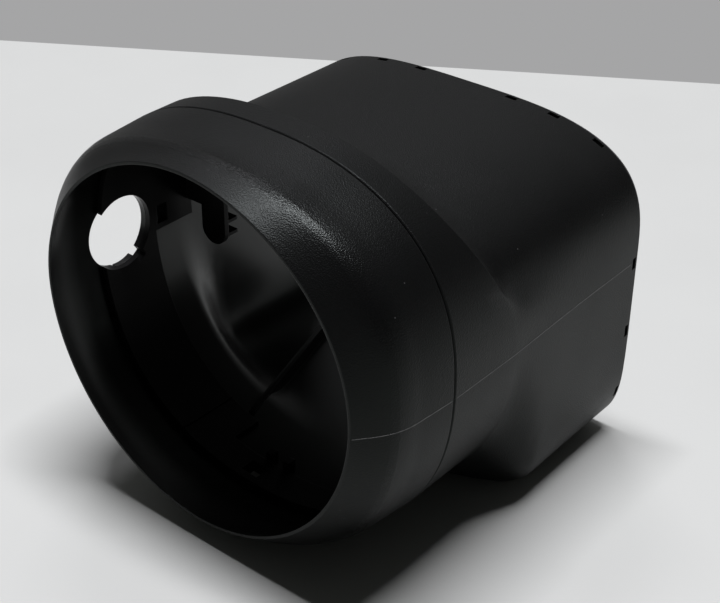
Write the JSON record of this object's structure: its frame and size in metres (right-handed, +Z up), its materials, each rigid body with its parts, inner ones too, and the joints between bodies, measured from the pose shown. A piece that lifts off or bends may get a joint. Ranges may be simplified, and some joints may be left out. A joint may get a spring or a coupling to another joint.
{
  "type": "steering column trim cover",
  "caption": "Hollow moulded cover for a steering column: a rounded front ring, a housing whose round neck steps down to an open box, and a split sleeve inside the joint.",
  "frame": {"origin": "on the column axis, in the plane of the front opening", "axes": "+Y runs back along the column from the front opening to the rear rim, +Z is up, and the stalk hole is on the -X side"},
  "size_m": [0.172, 0.163, 0.158],
  "materials": {
    "grained_plastic": "fine-grained satin moulding",
    "sleeve_plastic": "plain satin moulding"
  },
  "bodies": {
    "root": {"front_ring": "grained_plastic", "rear_housing": "grained_plastic", "inner_sleeve": "sleeve_plastic"}
  },
  "joints": []
}
